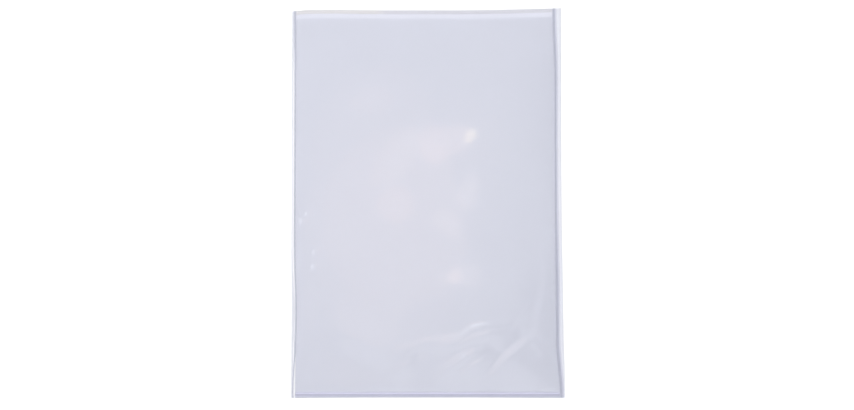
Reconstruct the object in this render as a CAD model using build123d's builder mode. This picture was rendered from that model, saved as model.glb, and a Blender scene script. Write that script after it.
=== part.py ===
from build123d import *

import os

# A clear vinyl sheet protector: two films welded together along both sides and the bottom, open at the top.
# It lies on its back film with Z up. X runs across it, Y runs up it to the mouth, and the origin is
# under its middle, on the surface that it lies on. All sizes are in millimetres.

# The sheet that it holds, and the play left around that sheet
sheet_width = 210.0
sheet_height = 297.0
side_play = 1.0
depth_play = 7.5

# The two films, and the pocket between them when it is empty
film_thickness = 0.25
pocket_gap = 0.4

# The welded margins, from the cut edge in to the pocket
left_weld_width = 3.3
right_weld_width = 5.6
bottom_weld_width = 3.7

# The section of a weld: a land pressed flat, and a bead of squeezed-out vinyl along the pocket
weld_land = 0.2
bead_width = 1.5
bead_bulge = 0.1

# The mouth: the back film stands past the front film, and its top edge is turned over as a hem
lip_height = 6.5
hem_height = 3.1

# Clearance around the edges of the front film
film_clearance = 0.1

# Sizes that follow from the driving dimensions
pocket_width = sheet_width + 2 * side_play
pocket_depth = sheet_height + depth_play
outer_width = left_weld_width + pocket_width + right_weld_width
outer_height = bottom_weld_width + pocket_depth + lip_height

left_edge = -outer_width / 2
right_edge = outer_width / 2
bottom_edge = -outer_height / 2
top_edge = outer_height / 2
pocket_left = left_edge + left_weld_width
pocket_bottom = bottom_edge + bottom_weld_width
mouth_edge = top_edge - lip_height

front_underside = film_thickness + pocket_gap
front_top = front_underside + film_thickness
bead_height = pocket_gap + film_thickness

# The front film turns about its own rounded bottom edge, beside the bottom weld
edge_radius = film_thickness / 2
hinge_y = pocket_bottom + film_clearance + edge_radius
hinge_z = front_underside + edge_radius

os.makedirs("parts", exist_ok=True)


def weld_section(plane, width):
    """The section across a weld, from its cut edge at the plane's origin in to the pocket."""
    bead_top = (width, bead_height)
    bead_foot = (width - bead_width, weld_land)
    with BuildSketch(plane) as section:
        with BuildLine():
            Polyline(bead_foot, (0, weld_land), (0, 0), (width, 0), bead_top)
            SagittaArc(bead_top, bead_foot, -bead_bulge)
        make_face()
    return section.sketch


# Back film, the whole outline of the sleeve
with BuildPart() as back_film:
    with BuildSketch():
        Rectangle(outer_width, outer_height)
    extrude(amount=film_thickness)
back_film.part.label = "back_film"
export_step(back_film.part, "parts/back_film.step")

# Hem of the mouth, the top edge of the back film turned over on itself between the side welds
with BuildPart() as mouth_hem:
    with BuildSketch(Plane.YZ.offset(pocket_left)):
        with BuildLine():
            fold = CenterArc((top_edge - film_thickness, film_thickness), film_thickness, 0, 90)
            hem_foot = (top_edge - hem_height, film_thickness)
            hem_top = (top_edge - hem_height, 2 * film_thickness)
            Polyline(fold @ 1, hem_top, hem_foot, fold @ 0)
        make_face()
    extrude(amount=pocket_width)
mouth_hem.part.label = "mouth_hem"
export_step(mouth_hem.part, "parts/mouth_hem.step")

# Front film, which ends below the lip and swings on its rounded bottom edge
with BuildPart() as front_film:
    with BuildSketch(Plane.YZ.offset(pocket_left + film_clearance)):
        with BuildLine():
            sheet_side = Polyline(
                (hinge_y, front_underside),
                (mouth_edge, front_underside),
                (mouth_edge, front_top),
                (hinge_y, front_top),
            )
            ThreePointArc(sheet_side @ 1, (hinge_y - edge_radius, hinge_z), sheet_side @ 0)
        make_face()
    extrude(amount=pocket_width - 2 * film_clearance)
front_film.part.label = "front_film"
export_step(front_film.part, "parts/front_film.step")

# Side welds, which run the whole height of the sleeve
left_plane = Plane(origin=(left_edge, top_edge, film_thickness), x_dir=(1, 0, 0), z_dir=(0, -1, 0))
with BuildPart() as left_weld:
    extrude(weld_section(left_plane, left_weld_width), amount=outer_height)
left_weld.part.label = "left_weld"
export_step(left_weld.part, "parts/left_weld.step")

right_plane = Plane(origin=(right_edge, bottom_edge, film_thickness), x_dir=(-1, 0, 0), z_dir=(0, 1, 0))
with BuildPart() as right_weld:
    extrude(weld_section(right_plane, right_weld_width), amount=outer_height)
right_weld.part.label = "right_weld"
export_step(right_weld.part, "parts/right_weld.step")

# Bottom weld, which closes the pocket between the side welds
bottom_plane = Plane(origin=(pocket_left, bottom_edge, film_thickness), x_dir=(0, 1, 0), z_dir=(1, 0, 0))
with BuildPart() as bottom_weld:
    extrude(weld_section(bottom_plane, bottom_weld_width), amount=pocket_width)
bottom_weld.part.label = "bottom_weld"
export_step(bottom_weld.part, "parts/bottom_weld.step")
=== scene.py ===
import math

import bpy
import numpy as np
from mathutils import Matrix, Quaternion, Vector


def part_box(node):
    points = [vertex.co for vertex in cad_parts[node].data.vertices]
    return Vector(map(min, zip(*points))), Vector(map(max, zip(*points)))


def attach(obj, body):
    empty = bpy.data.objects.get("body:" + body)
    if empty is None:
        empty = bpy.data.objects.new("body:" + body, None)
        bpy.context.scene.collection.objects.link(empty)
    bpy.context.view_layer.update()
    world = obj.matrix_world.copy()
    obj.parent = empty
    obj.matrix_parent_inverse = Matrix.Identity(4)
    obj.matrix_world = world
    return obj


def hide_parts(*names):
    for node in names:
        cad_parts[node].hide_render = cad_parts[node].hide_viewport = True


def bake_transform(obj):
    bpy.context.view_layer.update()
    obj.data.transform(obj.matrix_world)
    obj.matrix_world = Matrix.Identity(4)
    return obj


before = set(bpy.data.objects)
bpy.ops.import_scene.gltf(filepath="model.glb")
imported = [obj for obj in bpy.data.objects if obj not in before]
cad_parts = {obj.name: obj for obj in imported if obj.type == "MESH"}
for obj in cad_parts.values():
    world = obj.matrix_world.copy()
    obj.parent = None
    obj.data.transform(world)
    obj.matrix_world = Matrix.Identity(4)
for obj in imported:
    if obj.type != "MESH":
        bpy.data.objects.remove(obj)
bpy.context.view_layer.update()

# A clear vinyl sheet protector that lies flat on white. X runs across it, Y runs up it to the mouth.
# Places and sizes below are in millimetres in the part's own frame, and become metres in the meshes.
MM = 0.001


def box_mm(node_name):
    """Lowest and highest corner of a node, in millimetres."""
    low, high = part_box(node_name)
    return [value / MM for value in low], [value / MM for value in high]


# Places that come from the frame
(left_edge, bottom_edge, _), (right_edge, top_edge, film) = box_mm("back_film")
pocket_left = box_mm("left_weld")[1][0]
pocket_right = box_mm("right_weld")[0][0]
pocket_bottom = box_mm("bottom_weld")[1][1]
mouth_edge = box_mm("front_film")[1][1]
hem_foot = box_mm("mouth_hem")[0][1]
bead_top = box_mm("left_weld")[1][2]
pocket_middle = (pocket_left + pocket_right) / 2
pocket_width = pocket_right - pocket_left
lip_height = top_edge - mouth_edge
hem_height = top_edge - hem_foot
sheet_height = top_edge - pocket_bottom


def smooth(start, end, value):
    """0 before start, 1 after end, and a smooth step between them. start may be the larger."""
    share = np.clip((value - start) / (end - start), 0, 1)
    return share * share * (3 - 2 * share)


def hump(centre, half_width, value):
    """1 at centre, falling smoothly to 0 at half_width on either side."""
    return smooth(half_width, 0, np.abs(value - centre))


# Outline of the sleeve as it lies: the sides are drawn in a little where the film is puffed up.
# Outer lines are the cut edges, and inner lines are where the welds meet the pocket.
def left_outer(y):
    cut_in = 0.1
    waist = 0.2 * hump(0, 150, y)
    drawn_in_low = 0.55 * smooth(-30, -90, y)
    return left_edge + cut_in + waist + drawn_in_low


def left_inner(y):
    bead_shift = 0.2
    narrow_top = 0.2 * smooth(120, 155, y)
    wide_low = 1.4 * hump(-88, 55, y)
    wide_bottom = 0.35 * smooth(-110, -135, y) + 0.12 * hump(-134, 14, y)
    return pocket_left + bead_shift - narrow_top + wide_low + wide_bottom


def right_outer(y):
    drawn_in = 1.2 * smooth(-115, 10, y)
    eased_top = 0.25 * smooth(30, 156, y)
    flared = 0.8 * smooth(-105, -140, y)
    return right_edge - drawn_in + eased_top + flared


def right_inner(y):
    bead_shift = 1.2
    wide_top = 1.4 * smooth(100, 156, y)
    eased = 0.4 * smooth(-20, -80, y)
    flared = 3.1 * smooth(-108, -156, y)
    return pocket_right - bead_shift - wide_top + eased + flared


def top_outer(x):
    raised = 0.2
    lift_start, lift_end, lift_limit = 10, 104, 1.05
    lifted_right = 1.6 * np.clip((x - lift_start) / (lift_end - lift_start), 0, lift_limit) ** 2
    wave = 0.5 * hump(-78, 45, x)
    dipped_corner = 0.8 * smooth(-99, -108, x)
    return top_edge + raised + lifted_right + wave - dipped_corner


def mouth_line(x):
    drop = 0.2
    return top_outer(x) - lip_height - drop


def bottom_outer(x):
    low_corners = 0.3 * smooth(40, 108, np.abs(x))
    return bottom_edge - low_corners


def bottom_inner(x):
    bead_shift = 0.8
    return np.full(np.shape(x), pocket_bottom + bead_shift)


def graded(length, fine, coarse, growth=1.25):
    """Shares of a length from 0 to 1, close together at both ends and further apart between them."""
    places = [0.0]
    step = fine
    while places[-1] + step < length / 2:
        places.append(places[-1] + step)
        step = min(step * growth, coarse)
    first = np.array(places)
    return np.concatenate([first, [length / 2], (length - first)[::-1]]) / length


def spaced(steps):
    """Shares from 0 to 1 of a length, from (place, step) pairs between which the step changes evenly."""
    places, sizes = np.array(steps).T
    marks = [0.0]
    while marks[-1] < places[-1]:
        marks.append(marks[-1] + np.interp(marks[-1], places, sizes))
    return np.array(marks) / marks[-1]


def mesh_object(name, points, faces, material_of_face, materials):
    """A smooth-shaded mesh object from points in millimetres."""
    mesh = bpy.data.meshes.new(name)
    mesh.from_pydata((points * MM).tolist(), [], faces)
    for material in materials:
        mesh.materials.append(material)
    mesh.polygons.foreach_set("material_index", material_of_face)
    mesh.polygons.foreach_set("use_smooth", [True] * len(faces))
    mesh.update()
    obj = bpy.data.objects.new(name, mesh)
    bpy.context.scene.collection.objects.link(obj)
    return obj


def film_solid(name, x, y, z, materials, open_side=None, zones=None):
    """A film on a grid of points, where z is its underside.

    open_side leaves out the wall at the first or the last column, and zones has a material for each cell.
    """
    rows, columns = x.shape
    under = np.stack([x, y, z], axis=-1).reshape(-1, 3)
    over = under + [0, 0, film]
    points = np.concatenate([under, over])
    count = rows * columns
    index = np.arange(count).reshape(rows, columns)
    near_left = index[:-1, :-1].ravel()
    near_right = index[:-1, 1:].ravel()
    far_right = index[1:, 1:].ravel()
    far_left = index[1:, :-1].ravel()
    faces = np.stack([near_left, far_left, far_right, near_right], axis=-1).tolist()
    faces += (np.stack([near_left, near_right, far_right, far_left], axis=-1) + count).tolist()
    rims = [index[0, :], index[-1, ::-1]]
    if open_side != "last":
        rims.append(index[:, -1])
    if open_side != "first":
        rims.append(index[::-1, 0])
    for rim in rims:
        here = rim[:-1]
        after = rim[1:]
        faces += np.stack([here, after, after + count, here + count], axis=-1).tolist()
    kinds = [0] * len(faces)
    if zones is not None:
        kinds[: 2 * len(near_left)] = [int(zone) for zone in zones] * 2
    return mesh_object(name, points, faces, kinds, materials)


# Materials of the films, the welds and the floor
def node(tree, kind, **values):
    """A new node, with its inputs or properties set by name."""
    made = tree.nodes.new(kind)
    for key, value in values.items():
        if key in made.inputs:
            made.inputs[key].default_value = value
        else:
            setattr(made, key, value)
    return made


# Gloss of vinyl: how far scuffs vary its roughness, its mirror head on, and the power of Schlick's curve
scuff_range = (0.75, 1.3)
mirror_head_on = 0.044
schlick_power = 5.0

# Where the painted shade on the right of the hem begins, and where it is full
painted_shade_start = -45.0
painted_shade_end = -30.0


def film_material(name, tint, cloudy_tint, roughness, haze, milk_colour, right_painted_shade=None):
    """Clear vinyl: tinted and see-through, with a gloss that grows towards grazing angles and a faint haze.

    The last argument darkens the tint with painted shade from a little left of the middle on to the right.
    """
    material = bpy.data.materials.new(name)
    material.use_nodes = True
    tree = material.node_tree
    tree.nodes.clear()
    link = tree.links.new

    place = node(tree, "ShaderNodeTexCoord")
    clouds = node(tree, "ShaderNodeTexNoise", Scale=22.0, Detail=3.0, Roughness=0.55)
    link(place.outputs["Object"], clouds.inputs["Vector"])
    shade = node(tree, "ShaderNodeMix", data_type="RGBA")
    shade.inputs["A"].default_value = (*tint, 1)
    shade.inputs["B"].default_value = (*cloudy_tint, 1)
    link(clouds.outputs["Fac"], shade.inputs["Factor"])
    passed = shade.outputs["Result"]
    if right_painted_shade:
        parts = node(tree, "ShaderNodeSeparateXYZ")
        link(place.outputs["Object"], parts.inputs["Vector"])
        share = node(tree, "ShaderNodeMapRange", interpolation_type="SMOOTHSTEP")
        share.inputs["From Min"].default_value = painted_shade_start * MM
        share.inputs["From Max"].default_value = painted_shade_end * MM
        link(parts.outputs["X"], share.inputs["Value"])
        darker = node(tree, "ShaderNodeMix", data_type="RGBA", blend_type="MULTIPLY")
        link(share.outputs["Result"], darker.inputs["Factor"])
        link(passed, darker.inputs["A"])
        darker.inputs["B"].default_value = (*right_painted_shade, 1)
        passed = darker.outputs["Result"]
    clear = node(tree, "ShaderNodeBsdfTransparent")
    link(passed, clear.inputs["Color"])

    # Surface waves of drawn film, and the fine scuffs that vary its gloss
    waves = node(tree, "ShaderNodeTexNoise", Scale=180.0, Detail=2.0, Roughness=0.5)
    link(place.outputs["Object"], waves.inputs["Vector"])
    bump = node(tree, "ShaderNodeBump", Strength=0.25, Distance=0.00004)
    link(waves.outputs["Fac"], bump.inputs["Height"])
    scuffs = node(tree, "ShaderNodeMapRange")
    scuffs.inputs["To Min"].default_value = roughness * scuff_range[0]
    scuffs.inputs["To Max"].default_value = roughness * scuff_range[1]
    link(waves.outputs["Fac"], scuffs.inputs["Value"])
    gloss = node(tree, "ShaderNodeBsdfGlossy")
    link(scuffs.outputs["Result"], gloss.inputs["Roughness"])
    link(bump.outputs["Normal"], gloss.inputs["Normal"])

    # Haze of the plasticised vinyl
    milk = node(tree, "ShaderNodeBsdfDiffuse", Color=(*milk_colour, 1))
    hazy = node(tree, "ShaderNodeMixShader", Fac=haze)
    link(clear.outputs["BSDF"], hazy.inputs[1])
    link(milk.outputs["BSDF"], hazy.inputs[2])

    # The mirror of vinyl, the same from both sides of the film
    facing = node(tree, "ShaderNodeLayerWeight", Blend=0.5)
    grazing = node(tree, "ShaderNodeMath", operation="POWER")
    grazing.inputs[1].default_value = schlick_power
    link(facing.outputs["Facing"], grazing.inputs[0])
    mirror = node(tree, "ShaderNodeMapRange")
    mirror.inputs["To Min"].default_value = mirror_head_on
    link(grazing.outputs["Value"], mirror.inputs["Value"])
    surface = node(tree, "ShaderNodeMixShader")
    link(mirror.outputs["Result"], surface.inputs["Fac"])
    link(hazy.outputs["Shader"], surface.inputs[1])
    link(gloss.outputs["BSDF"], surface.inputs[2])
    output = node(tree, "ShaderNodeOutputMaterial")
    link(surface.outputs["Shader"], output.inputs["Surface"])
    return material


# Looks of the films and welds: tint, tint in its clouds, roughness, share of haze, colour of the haze,
# and for the hem the painted shade that darkens it on its right
pale_milk = (0.86, 0.87, 0.93)
violet_milk = (0.45, 0.45, 0.85)
# Painted shade for the right of the hem, where the room's light is dimmer
hem_painted_shade = (0.973, 0.978, 1.0)
film_looks = {
    "front_film": ((0.992, 0.995, 1.0), (0.989, 0.992, 0.999), 0.045, 0.01, pale_milk),
    "back_film": ((0.945, 0.949, 0.984), (0.941, 0.945, 0.98), 0.16, 0.01, pale_milk),
    "back_lip": ((0.925, 0.929, 0.963), (0.921, 0.925, 0.959), 0.16, 0.01, pale_milk),
    "back_hem": ((0.962, 0.96, 0.98), (0.957, 0.955, 0.976), 0.16, 0.01, pale_milk),
    "weld_land": ((0.93, 0.935, 0.958), (0.917, 0.922, 0.946), 0.14, 0.01, pale_milk),
    "weld_clear": ((0.985, 0.987, 0.995), (0.975, 0.977, 0.988), 0.1, 0.01, pale_milk),
    # Painted shade: the beads, the hazy strip of the right weld and the land of the bottom weld are tinted
    # darker, partly for their thicker, hazier vinyl and partly as painted shade for the dark lines along
    # the welds; the right bead is the darkest
    "weld_haze_and_painted_shade": ((0.905, 0.91, 0.94), (0.89, 0.896, 0.927), 0.14, 0.03, violet_milk),
    "weld_bead": ((0.85, 0.855, 0.885), (0.835, 0.841, 0.873), 0.1, 0.05, violet_milk),
    "right_bead": ((0.838, 0.843, 0.873), (0.823, 0.829, 0.861), 0.1, 0.05, violet_milk),
    "bottom_bead": ((0.855, 0.855, 0.89), (0.84, 0.84, 0.878), 0.1, 0.08, violet_milk),
    "bottom_land": ((0.857, 0.86, 0.892), (0.842, 0.845, 0.879), 0.14, 0.03, violet_milk),
    "bottom_shelf": ((0.947, 0.948, 0.983), (0.938, 0.939, 0.975), 0.1, 0.08, violet_milk),
    "mouth_hem": ((0.998, 0.995, 0.983), (0.988, 0.985, 0.974), 0.14, 0.04, pale_milk, hem_painted_shade),
    "mouth_fold": ((0.985, 0.983, 0.975), (0.973, 0.971, 0.965), 0.14, 0.03, pale_milk, hem_painted_shade),
}
looks = {name: film_material(name, *look) for name, look in film_looks.items()}


# The front film, puffed up between its welds, lower at the mouth and creased at the lower right
edge_rise = 0.1
edge_run = 2.0
puff = 1.1
puff_run = 42.0
mouth_sink = 0.55
sink_run = 60.0
loose_run = 6.0

# Creases as points along each, how far the film slopes down on its left and on its right, and its height
creases = [
    ([(-28.2, -119.5), (-10.6, -117.2), (-2.4, -113), (12.1, -110.7), (28.2, -107.9)], 3.0, 12.0, 0.58),
    (
        [(4.1, -117.8), (20.6, -114), (28.7, -109.5), (36.8, -102.4), (45, -100.4), (68.6, -99.6)],
        3.3,
        28.0,
        0.98,
    ),
    ([(22.2, -118), (40.3, -109), (51.2, -106), (74.6, -104)], 2.9, 18.0, 0.66),
    ([(6.1, -147.3), (20.2, -132.6), (33.3, -124.6), (54.5, -119)], 5.4, 26.0, 0.98),
    ([(20.2, -149.3), (33.3, -135.2), (45.4, -128.6), (60.5, -125.1)], 4.8, 24.0, 0.86),
    ([(38.3, -155.3), (54.5, -139.2), (65.9, -125.3), (77.3, -116.3), (94.8, -104.9)], 4.4, 32.0, 1.12),
    ([(-30.3, -143.2), (-22.2, -135.2), (-8.1, -128.1)], 4.0, 9.0, 0.5),
    ([(-90.8, -96.8), (-54.5, -111), (-12.1, -132.1)], 20.0, 14.0, 1.2),
    ([(99.9, -20.2), (96.8, -70.6), (86.7, -113)], 7.0, 5.0, 0.1),
]

# Small dents, as a place, a radius and a height
dents = [
    ((84.7, -119), 5.0, -0.35),
    ((89.8, -123.1), 2.4, -0.2),
    ((31.3, -123.6), 2.5, 0.3),
    ((37.3, -122), 2.5, 0.3),
    ((30.3, -134.2), 3.5, -0.35),
    ((-6.1, -121), 5.0, -0.4),
    ((-100.9, -15.1), 2.2, 0.7),
    ((-96.8, -9.1), 1.8, 0.55),
    ((-90.3, -40.3), 2.0, 0.6),
    ((-91.1, -52.5), 2.2, 0.65),
]

# Long slow waves of the loose film: wavelength, direction, phase and height
slow_waves = [
    (95.0, 20.0, 0.3, 0.05),
    (62.0, 75.0, 1.9, 0.035),
    (41.0, 130.0, 4.1, 0.018),
    (27.0, 50.0, 2.6, 0.008),
]

# How round a crease is along its crest, and how softly it runs out at its foot
crest_radius = 1.4
foot_softness = 0.16


def along_line(points, x, y):
    """Distance to a line through points, negative on its right, and how far along it is, from 0 to 1."""
    steps = np.diff(np.array(points, float), axis=0)
    lengths = np.linalg.norm(steps, axis=1)
    nearest = np.full(x.shape, np.inf)
    side = np.ones(x.shape)
    share = np.zeros(x.shape)
    done = 0.0
    for (start_x, start_y), (step_x, step_y), length in zip(points, steps, lengths):
        from_x = x - start_x
        from_y = y - start_y
        part = np.clip((from_x * step_x + from_y * step_y) / length**2, 0, 1)
        distance = np.hypot(from_x - part * step_x, from_y - part * step_y)
        closer = distance < nearest
        nearest = np.where(closer, distance, nearest)
        side = np.where(closer, np.sign(step_x * from_y - step_y * from_x), side)
        share = np.where(closer, (done + part * length) / lengths.sum(), share)
        done += length
    return nearest * side, share


def tent(distance):
    """1 at the crest, falling evenly to a soft foot one width away."""
    return foot_softness * np.log1p(np.exp((1 - distance) / foot_softness))


def ripples(x, y):
    """Creases, dents and slow waves of the loose front film."""
    height = np.zeros(x.shape)
    for points, left_run, right_run, rise in creases:
        distance, share = along_line(points, x, y)
        rounded = np.hypot(distance, crest_radius) - crest_radius
        run = np.where(distance > 0, left_run, right_run)
        height += rise * tent(rounded / run) * np.sin(np.pi * share)
    for (dent_x, dent_y), radius, rise in dents:
        height += rise * np.exp(-((x - dent_x) ** 2 + (y - dent_y) ** 2) / radius**2)
    for length, direction, phase, rise in slow_waves:
        turn = math.radians(direction)
        way = x * math.cos(turn) + y * math.sin(turn)
        height += rise * np.sin(2 * np.pi * way / length + phase)
    return height


def front_height(x, y):
    """Height of the front film's underside."""
    from_left = x - left_inner(y)
    from_right = right_inner(y) - x
    from_bottom = y - bottom_inner(x)
    to_mouth = mouth_line(x) - y
    inside = np.maximum(np.minimum(np.minimum(from_left, from_right), from_bottom), 0)
    step = edge_rise * (1 - np.exp(-inside / edge_run))
    across = (1 - np.exp(-from_left / puff_run)) * (1 - np.exp(-from_right / puff_run))
    along = 1 - np.exp(-from_bottom / puff_run)
    sunk_mouth = mouth_sink * smooth(sink_run, 0, to_mouth)
    loose = 1 - np.exp(-inside / loose_run)
    puffed = puff * across * along * (1 - sunk_mouth)
    return bead_top - film + step + puffed + loose * ripples(x, y)


# Grid of the front film as places and steps, from the bottom weld up and from each side weld in
film_rows = spaced(
    [(0, 0.3), (3, 0.5), (62, 0.5), (75, 1.3), (150, 1.3), (165, 1.7), (290, 1.7), (303, 0.4)]
)
left_columns = spaced([(0, 0.3), (3, 0.8), (25, 0.9), (40, 1.3), (70, 1.3), (106, 0.7)])
right_columns = spaced([(0, 0.3), (3, 0.7), (106, 0.7)])


def front_half(name, outer_line, columns, open_side):
    """One half of the front film, from its side weld to the middle of the pocket."""
    if open_side == "first":
        columns = 1 - columns[::-1]
    across, along = np.meshgrid(columns, film_rows)
    y_flat = pocket_bottom + along * (mouth_edge - pocket_bottom)
    if open_side == "first":
        x = pocket_middle + across * (outer_line(y_flat) - pocket_middle)
    else:
        x = outer_line(y_flat) + across * (pocket_middle - outer_line(y_flat))
    y = bottom_inner(x) + along * (mouth_line(x) - bottom_inner(x))
    return film_solid(name, x, y, front_height(x, y), [looks["front_film"]], open_side)


front_left = front_half("front_film_left", left_inner, left_columns, "last")
front_right = front_half("front_film_right", right_inner, right_columns, "first")
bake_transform(front_left)
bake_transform(front_right)
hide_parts("front_film")


# The mouth: the back film stands past the front film, and its top edge is turned over as a hem.
# The fold of the hem shows as a fine line along the top.
fold_line = 0.4
lip_step = 1.5

# Rows of the back film, up from the bottom weld and then down from its top edge
first_rows = [0.0, 0.3, 1.0, 2.0]
row_step = 4.0
row_gap = 1.0
lip_rows = np.array([lip_height, hem_height + lip_step, hem_height, hem_height / 2, fold_line, 0.0])


def back_sheet():
    """The back film, which lies flat from weld to weld and up past the mouth."""
    columns = graded(pocket_width, fine=0.5, coarse=5.0)
    last_row = sheet_height - lip_height - row_gap
    rows_up = np.concatenate([first_rows, np.arange(row_step, last_row, row_step)])
    rows = np.concatenate([rows_up / sheet_height, 1 - lip_rows / sheet_height])
    across, along = np.meshgrid(columns, rows)
    y_flat = pocket_bottom + along * sheet_height
    x = left_inner(y_flat) + across * (right_inner(y_flat) - left_inner(y_flat))
    y = bottom_inner(x) + along * (top_outer(x) - bottom_inner(x))
    from_top = (1 - (rows[:-1] + rows[1:]) / 2) * sheet_height
    row_zones = (from_top < lip_height).astype(int) + (from_top < hem_height)
    zones = np.repeat(row_zones, len(columns) - 1)
    materials = [looks[name] for name in ("back_film", "back_lip", "back_hem")]
    return film_solid("back_film_sheet", x, y, np.zeros(x.shape), materials, zones=zones)


back = back_sheet()
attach(back, "sleeve")
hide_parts("back_film")


def hem_strip():
    """The hem between the side welds, with close rows at its foot and along its fold."""
    columns = graded(pocket_width, fine=0.5, coarse=4.0)
    close_rows = np.array([0.0, 0.25, 0.5, 0.8, 1.0]) * fold_line
    rows = np.concatenate([close_rows, [hem_height / 2], hem_height - fold_line + close_rows])
    across, along = np.meshgrid(columns, rows)
    x = left_inner(top_edge) + across * (right_inner(top_edge) - left_inner(top_edge))
    y = top_outer(x) - hem_height + along
    on_fold = (rows[:-1] + rows[1:]) / 2 > hem_height - fold_line
    zones = np.repeat(on_fold, len(columns) - 1)
    materials = [looks[name] for name in ("mouth_hem", "mouth_fold")]
    return film_solid("mouth_hem_fold", x, y, np.full(x.shape, film), materials, zones=zones)


hem = hem_strip()
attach(hem, "sleeve")
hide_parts("mouth_hem")


# The welds: a land pressed flat, a strip beside the bead, a rounded bead and a shelf at the pocket
land_rise = 0.2
land_height = box_mm("left_weld")[0][2] + land_rise
land_middle = 0.5
cut_bevel = 0.08
strip_drop = 0.06
strip_bottom = (0.3, 0.8)
shelf_end = 0.9
bead_steps = 9
land, strip, bead, shelf = range(4)


def weld_strip(name, outer_points, inner_points, spans, materials):
    """A weld between two lines of points. spans are the widths of its strip, its bead and its shelf."""
    strip_span, bead_span, shelf_span = spans
    width = np.linalg.norm(inner_points - outer_points, axis=1)
    inward = (inner_points - outer_points) / width[:, None]
    shelf_start = width - shelf_span
    bead_start = shelf_start - bead_span
    land_end = bead_start - strip_span
    cut_edge = 0 * width
    profile = [(cut_edge, 0.0), (cut_edge, land_height - cut_bevel), (cut_edge + cut_bevel, land_height)]
    profile += [(land_end * land_middle, land_height), (land_end, land_height)]
    zones = [land] * (len(profile) - 1)
    profile += [(land_end + strip_span * share, land_height - strip_drop) for share in strip_bottom]
    zones += [strip] * (len(strip_bottom) + 1)
    for number in range(bead_steps + 1):
        turn = math.pi / 2 * number / bead_steps
        across = bead_start + bead_span * (1 - math.cos(turn))
        profile.append((across, land_height + (bead_top - land_height) * math.sin(turn)))
    zones += [bead] * bead_steps
    profile += [(shelf_start + shelf_span * shelf_end, bead_top), (width, bead_top)]
    profile += [(width, 0.0), (shelf_start, 0.0), (bead_start, 0.0), (land_end, 0.0)]
    zones += [shelf, shelf, shelf, shelf, bead, strip, land]
    rings = []
    for across, height in profile:
        flat = outer_points + inward * np.asarray(across)[:, None]
        rings.append(np.column_stack([flat, np.full(len(flat), height)]))
    points = np.stack(rings, axis=1)
    rows, loop = points.shape[:2]
    index = np.arange(rows * loop).reshape(rows, loop)
    faces = []
    kinds = []
    for here, zone in enumerate(zones):
        after = (here + 1) % loop
        for row in range(rows - 1):
            faces.append((index[row, here], index[row, after], index[row + 1, after], index[row + 1, here]))
            kinds.append(zone)
    faces.append(tuple(index[0, ::-1]))
    faces.append(tuple(index[-1, :]))
    kinds += [land, land]
    run_x, run_y = outer_points[-1] - outer_points[0]
    pocket_on_left = run_x * inward[0, 1] > run_y * inward[0, 0]
    if pocket_on_left:
        faces = [face[::-1] for face in faces]
    return mesh_object(name, points.reshape(-1, 3), faces, kinds, materials)


side_rows = graded(top_edge - bottom_edge, fine=0.5, coarse=3.0)
side_y = bottom_edge + side_rows * (top_edge - bottom_edge)


def side_weld(name, outer_line, inner_line, spans, materials):
    """A side weld, which runs the whole height of the sleeve."""
    x_outer, x_inner = outer_line(side_y), inner_line(side_y)
    y_outer = bottom_outer(x_outer) + side_rows * (top_outer(x_outer) - bottom_outer(x_outer))
    y_inner = bottom_outer(x_inner) + side_rows * (top_outer(x_inner) - bottom_outer(x_inner))
    outer = np.column_stack([x_outer, y_outer])
    inner = np.column_stack([x_inner, y_inner])
    return weld_strip(name, outer, inner, spans, materials)


def bottom_strip(spans, materials):
    """The bottom weld, which runs from one side weld to the other."""
    columns = graded(pocket_width, fine=0.5, coarse=3.0)
    x_inner = left_inner(pocket_bottom) + columns * (right_inner(pocket_bottom) - left_inner(pocket_bottom))
    x_outer = left_inner(bottom_edge) + columns * (right_inner(bottom_edge) - left_inner(bottom_edge))
    outer = np.column_stack([x_outer, bottom_outer(x_outer)])
    inner = np.column_stack([x_inner, bottom_inner(x_inner)])
    return weld_strip("bottom_weld_strip", outer, inner, spans, materials)


# Widths of strip, bead and shelf along each weld. Low down the left side, the strip pressed clear lies
# on the pocket side of the bead, as its shelf.
low_left = smooth(-119, -137, side_y)
top_left = smooth(95, 140, side_y)
narrow_left = 0.7 * hump(-90, 45, side_y)
left_strip = 0.05 + (1 - low_left) * (1 - top_left) * (1 - narrow_left)
left_bead = 1.3 + 0.4 * top_left - 0.4 * low_left
left_shelf = 0.02 + 1.05 * low_left + 0.35 * smooth(-137, -146, side_y)
left_spans = (left_strip, left_bead, left_shelf)
left_materials = [looks[name] for name in ("weld_land", "weld_clear", "weld_bead", "weld_clear")]
right_bead = 1.65 - 0.45 * hump(45, 90, side_y) + 0.35 * smooth(-20, -80, side_y)
right_spans = (1.4, right_bead, 0.4)
# The right weld's strip and shelf, and the bottom weld's land, take the darker tints that carry painted
# shade
right_materials = [looks[name] for name in ("weld_land", "weld_haze_and_painted_shade", "right_bead", "weld_haze_and_painted_shade")]
bottom_spans = (0.4, 1.3, 1.7)
bottom_materials = [looks[name] for name in ("bottom_land", "bottom_land", "bottom_bead", "bottom_shelf")]
welds = {
    "left_weld": side_weld("left_weld_strip", left_outer, left_inner, left_spans, left_materials),
    "right_weld": side_weld("right_weld_strip", right_outer, right_inner, right_spans, right_materials),
    "bottom_weld": bottom_strip(bottom_spans, bottom_materials),
}
for node_name, weld in welds.items():
    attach(weld, "sleeve")
    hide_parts(node_name)


# Floor: white, lit by the lamps, topped up to white where it is seen. Near the object it keeps its shadows,
# and it turns plain white between two distances from it, in metres.
floor_white = (0.9, 0.9, 0.9)
plain_start = 0.25
plain_end = 0.8
glow_near = 0.18
glow_far = 1.0


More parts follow.
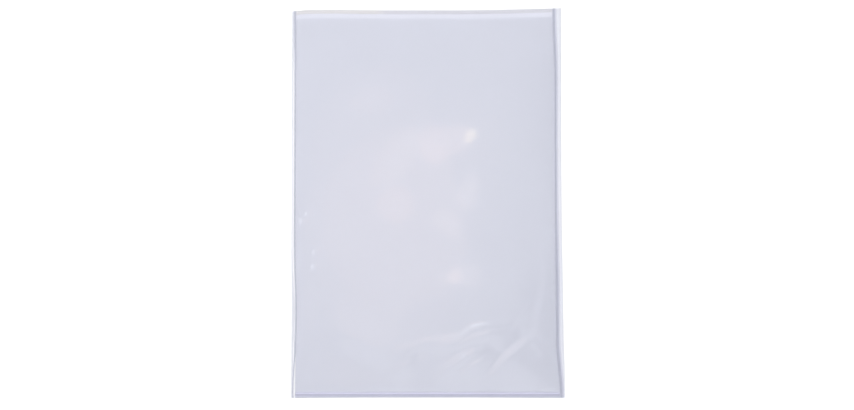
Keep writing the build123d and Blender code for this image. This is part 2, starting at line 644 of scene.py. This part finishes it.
def floor_material():
    """White, with a glow that shows to the eye and in the mirror of the film, and lights nothing."""
    material = bpy.data.materials.new("floor_white")
    material.use_nodes = True
    tree = material.node_tree
    tree.nodes.clear()
    link = tree.links.new
    white = node(tree, "ShaderNodeBsdfDiffuse", Color=(*floor_white, 1))
    path = node(tree, "ShaderNodeLightPath")
    seen = node(tree, "ShaderNodeMath", operation="MAXIMUM")
    link(path.outputs["Is Camera Ray"], seen.inputs[0])
    link(path.outputs["Is Glossy Ray"], seen.inputs[1])
    seen_all = node(tree, "ShaderNodeMath", operation="MAXIMUM")
    link(seen.outputs["Value"], seen_all.inputs[0])
    link(path.outputs["Is Transmission Ray"], seen_all.inputs[1])

    place = node(tree, "ShaderNodeTexCoord")
    away = node(tree, "ShaderNodeVectorMath", operation="LENGTH")
    link(place.outputs["Object"], away.inputs[0])
    far = node(tree, "ShaderNodeMapRange", interpolation_type="SMOOTHSTEP")
    far.inputs["From Min"].default_value = plain_start
    far.inputs["From Max"].default_value = plain_end
    far.inputs["To Min"].default_value = glow_near
    far.inputs["To Max"].default_value = glow_far
    link(away.outputs["Value"], far.inputs["Value"])
    strength = node(tree, "ShaderNodeMath", operation="MULTIPLY")
    link(seen_all.outputs["Value"], strength.inputs[0])
    link(far.outputs["Result"], strength.inputs[1])
    glow = node(tree, "ShaderNodeEmission", Color=(1, 1, 1, 1))
    link(strength.outputs["Value"], glow.inputs["Strength"])
    both = node(tree, "ShaderNodeAddShader")
    link(white.outputs["BSDF"], both.inputs[0])
    link(glow.outputs["Emission"], both.inputs[1])
    output = node(tree, "ShaderNodeOutputMaterial")
    link(both.outputs["Shader"], output.inputs["Surface"])
    return material


floor_half = 20000.0
floor_drop = 0.05
corners = np.array([(-1, -1), (1, -1), (1, 1), (-1, 1)]) * floor_half
floor_points = np.column_stack([corners, np.full(4, -floor_drop)])
floor = mesh_object("floor", floor_points, [(0, 1, 2, 3)], [0], [floor_material()])


# World: a pale room, darker on the right, far left and in front, with a dark corner and four windows.
# Places in it are parts of a direction: across to the right, upward to the mouth, and high off the floor.
# Each side goes from a start to an end, and from one brightness to another.
right_lean = (1.0, 0.08, 0)
right_side = (0.07, 0.2, 1.0, 0.52)
left_wall = (-0.45, -0.26, 0.3, 1.0)
front_wall = (-0.3, 0.05, 0.55, 1.0)
near_floor = (0.1, 0.62, 1.0, 0.0)
corner_dimming = 0.5
corner_across = (0.13, 0.16, 0.04)
corner_upward = (-0.1, -0.05, 0.07)

# Windows: from where to where across and upward, each with the softness of its edges, and how bright
windows = [
    ((-0.3, 0.3, 0.06), (0.42, 0.5, 0.2), 1.9),
    ((-0.5, -0.37, 0.19), (-0.25, 0.4, 0.1), 1.7),
    ((-0.4, 0.4, 0.1), (-0.36, -0.21, 0.06), 0.5),
    ((0.14, 0.3, 0.05), (-0.3, -0.17, 0.03), 0.45),
]


def pale_room():
    """The room that the film mirrors, as a brightness for each direction."""
    world = bpy.data.worlds.new("pale_room")
    bpy.context.scene.world = world
    world.use_nodes = True
    tree = world.node_tree
    tree.nodes.clear()
    link = tree.links.new

    def step(value, start, end, low, high):
        """A smooth step from low to high between two values."""
        made = node(tree, "ShaderNodeMapRange", interpolation_type="SMOOTHSTEP")
        for name, number in (("From Min", start), ("From Max", end), ("To Min", low), ("To Max", high)):
            made.inputs[name].default_value = number
        link(value, made.inputs["Value"])
        return made.outputs["Result"]

    def combined(kind, first, second):
        """Two values put together by an operation."""
        made = node(tree, "ShaderNodeMath", operation=kind)
        link(first, made.inputs[0])
        link(second, made.inputs[1])
        return made.outputs["Value"]

    def band(value, low, high, soft):
        """1 between two values, with soft ends."""
        rising = step(value, low - soft, low, 0.0, 1.0)
        falling = step(value, high, high + soft, 1.0, 0.0)
        return combined("MULTIPLY", rising, falling)

    def patch(columns, rows):
        """1 inside a soft-edged patch of the room."""
        return combined("MULTIPLY", band(across, *columns), band(upward, *rows))

    def scaled(value, factor):
        """A value times a number."""
        made = node(tree, "ShaderNodeMath", operation="MULTIPLY")
        made.inputs[1].default_value = factor
        link(value, made.inputs[0])
        return made.outputs["Value"]

    way = node(tree, "ShaderNodeTexCoord")
    parts = node(tree, "ShaderNodeSeparateXYZ")
    link(way.outputs["Generated"], parts.inputs["Vector"])
    across, upward = parts.outputs["X"], parts.outputs["Y"]
    tilt = node(tree, "ShaderNodeVectorMath", operation="DOT_PRODUCT")
    tilt.inputs[1].default_value = right_lean
    link(way.outputs["Generated"], tilt.inputs[0])
    sideways = tilt.outputs["Value"]

    sides = combined("MULTIPLY", step(sideways, *right_side), step(sideways, *left_wall))
    dark_corner = step(patch(corner_across, corner_upward), 0.0, 1.0, 1.0, corner_dimming)
    fronts = combined("MULTIPLY", step(upward, *front_wall), dark_corner)
    room = combined("MULTIPLY", sides, fronts)
    panes = [scaled(patch(columns, rows), brightness) for columns, rows, brightness in windows]
    brightest = panes[0]
    for pane in panes[1:]:
        brightest = combined("MAXIMUM", brightest, pane)
    inside = combined("ADD", room, brightest)
    light = combined("MAXIMUM", inside, step(parts.outputs["Z"], *near_floor))
    sky = node(tree, "ShaderNodeBackground", Color=(1, 1, 1, 1))
    link(light, sky.inputs["Strength"])
    output = node(tree, "ShaderNodeOutputWorld")
    link(sky.outputs["Background"], output.inputs["Surface"])


pale_room()


# Camera: above the sleeve, leaning a little towards its bottom
camera_lens = 50.0
camera_distance = 0.9643
camera_lean = math.radians(2.1)
camera_aim = Vector((-0.0001, -0.0017, 0))

camera_data = bpy.data.cameras.new("camera")
camera_data.lens = camera_lens
camera = bpy.data.objects.new("camera", camera_data)
bpy.context.scene.collection.objects.link(camera)
away = Vector((0, -math.sin(camera_lean), math.cos(camera_lean)))
camera.location = camera_aim + away * camera_distance
camera.rotation_mode = "QUATERNION"
camera.rotation_quaternion = (-away).to_track_quat("-Z", "Y")
bpy.context.scene.camera = camera
bpy.context.scene.view_settings.view_transform = "Standard"


# Lamps
def area_lamp(name, place, aim, size, turn, brightness, colour):
    """An oval lamp of a given brightness, aimed at a point and turned about its own axis."""
    lamp = bpy.data.lights.new(name, "AREA")
    lamp.shape = "ELLIPSE"
    lamp.size, lamp.size_y = size
    lamp.energy = brightness * math.pi * size[0] * size[1]
    lamp.color = colour
    obj = bpy.data.objects.new(name, lamp)
    bpy.context.scene.collection.objects.link(obj)
    obj.location = place
    obj.rotation_mode = "QUATERNION"
    facing = (Vector(aim) - Vector(place)).to_track_quat("-Z", "Y")
    obj.rotation_quaternion = facing @ Quaternion((0, 0, 1), math.radians(turn))


# Two softboxes over the table: place, width, brightness and colour
neutral = (1.0, 1.0, 1.0)
cool = (0.94, 0.985, 1.0)
softboxes = {
    "key_softbox": ((-1.1, 0.15, 1.0), 0.8, 2.01, neutral),
    "fill_softbox": ((0.8, 1.1, 1.5), 0.9, 2.6, cool),
}
for name, (place, width, brightness, colour) in softboxes.items():
    area_lamp(name, place, (0, 0, 0), (width, width), 0, brightness, colour)

# Weak warm lamps around the camera, each placed so that the front film mirrors it at a given spot:
# place, size and turn of the mirror image, brightness and colour. Each hangs a little above the one before.
lowest_lamp = 1.0
lamp_spacing = 0.004
pink = (1.0, 0.66, 0.52)
pale = (1.0, 0.82, 0.7)
cream = (1.0, 0.85, 0.45)
glints = [
    ((35, 54.5), (10, 13), 0, 1.4, cream),
    ((23.2, -59.5), (16, 18), 0, 0.6, pink),
    ((16, 50), (58, 36), 16, 0.58, pink),
    ((-26, 2.3), (30, 36), 0, 0.4, pink),
    ((-23, 41), (56, 22), 45, 0.33, pale),
    ((32, 4), (24, 32), 0, 0.5, pale),
    ((15, -15), (36, 28), -30, 0.35, pale),
    ((26.5, -60.5), (42, 20), 5, 0.4, pale),
    ((-47.9, 83.7), (40, 24), 20, 0.2, pink),
    ((-30, -14), (140, 154), 0, 0.16, pink),
    ((-46, -22), (150, 290), 0, 0.1, pink),
]

# How far around a spot the slope of the film is taken
slope_reach = 0.5


def mirrored_at(spot, height):
    """Where a ray from the camera, mirrored by the front film at a spot, reaches the height of a lamp."""
    x, y = spot
    x_near = np.array([x, x + slope_reach, x - slope_reach, x, x])
    y_near = np.array([y, y, y, y + slope_reach, y - slope_reach])
    heights = front_height(x_near, y_near)
    slope_x = (heights[1] - heights[2]) / (2 * slope_reach)
    slope_y = (heights[3] - heights[4]) / (2 * slope_reach)
    normal = Vector((-slope_x, -slope_y, 1)).normalized()
    surface = Vector((x, y, heights[0] + film)) * MM
    onward = (surface - camera.location).reflect(normal)
    return surface + onward * ((height - surface.z) / onward.z)


for number, (spot, size, turn, brightness, colour) in enumerate(glints, 1):
    lamp_height = lowest_lamp + lamp_spacing * number
    place = mirrored_at(spot, lamp_height)
    spread = 1 + lamp_height / camera.location.z
    lamp_size = (size[0] * MM * spread, size[1] * MM * spread)
    below = (place.x, place.y, 0)
    area_lamp(f"glint_{number}", place, below, lamp_size, turn, brightness, colour)

bpy.context.view_layer.update()
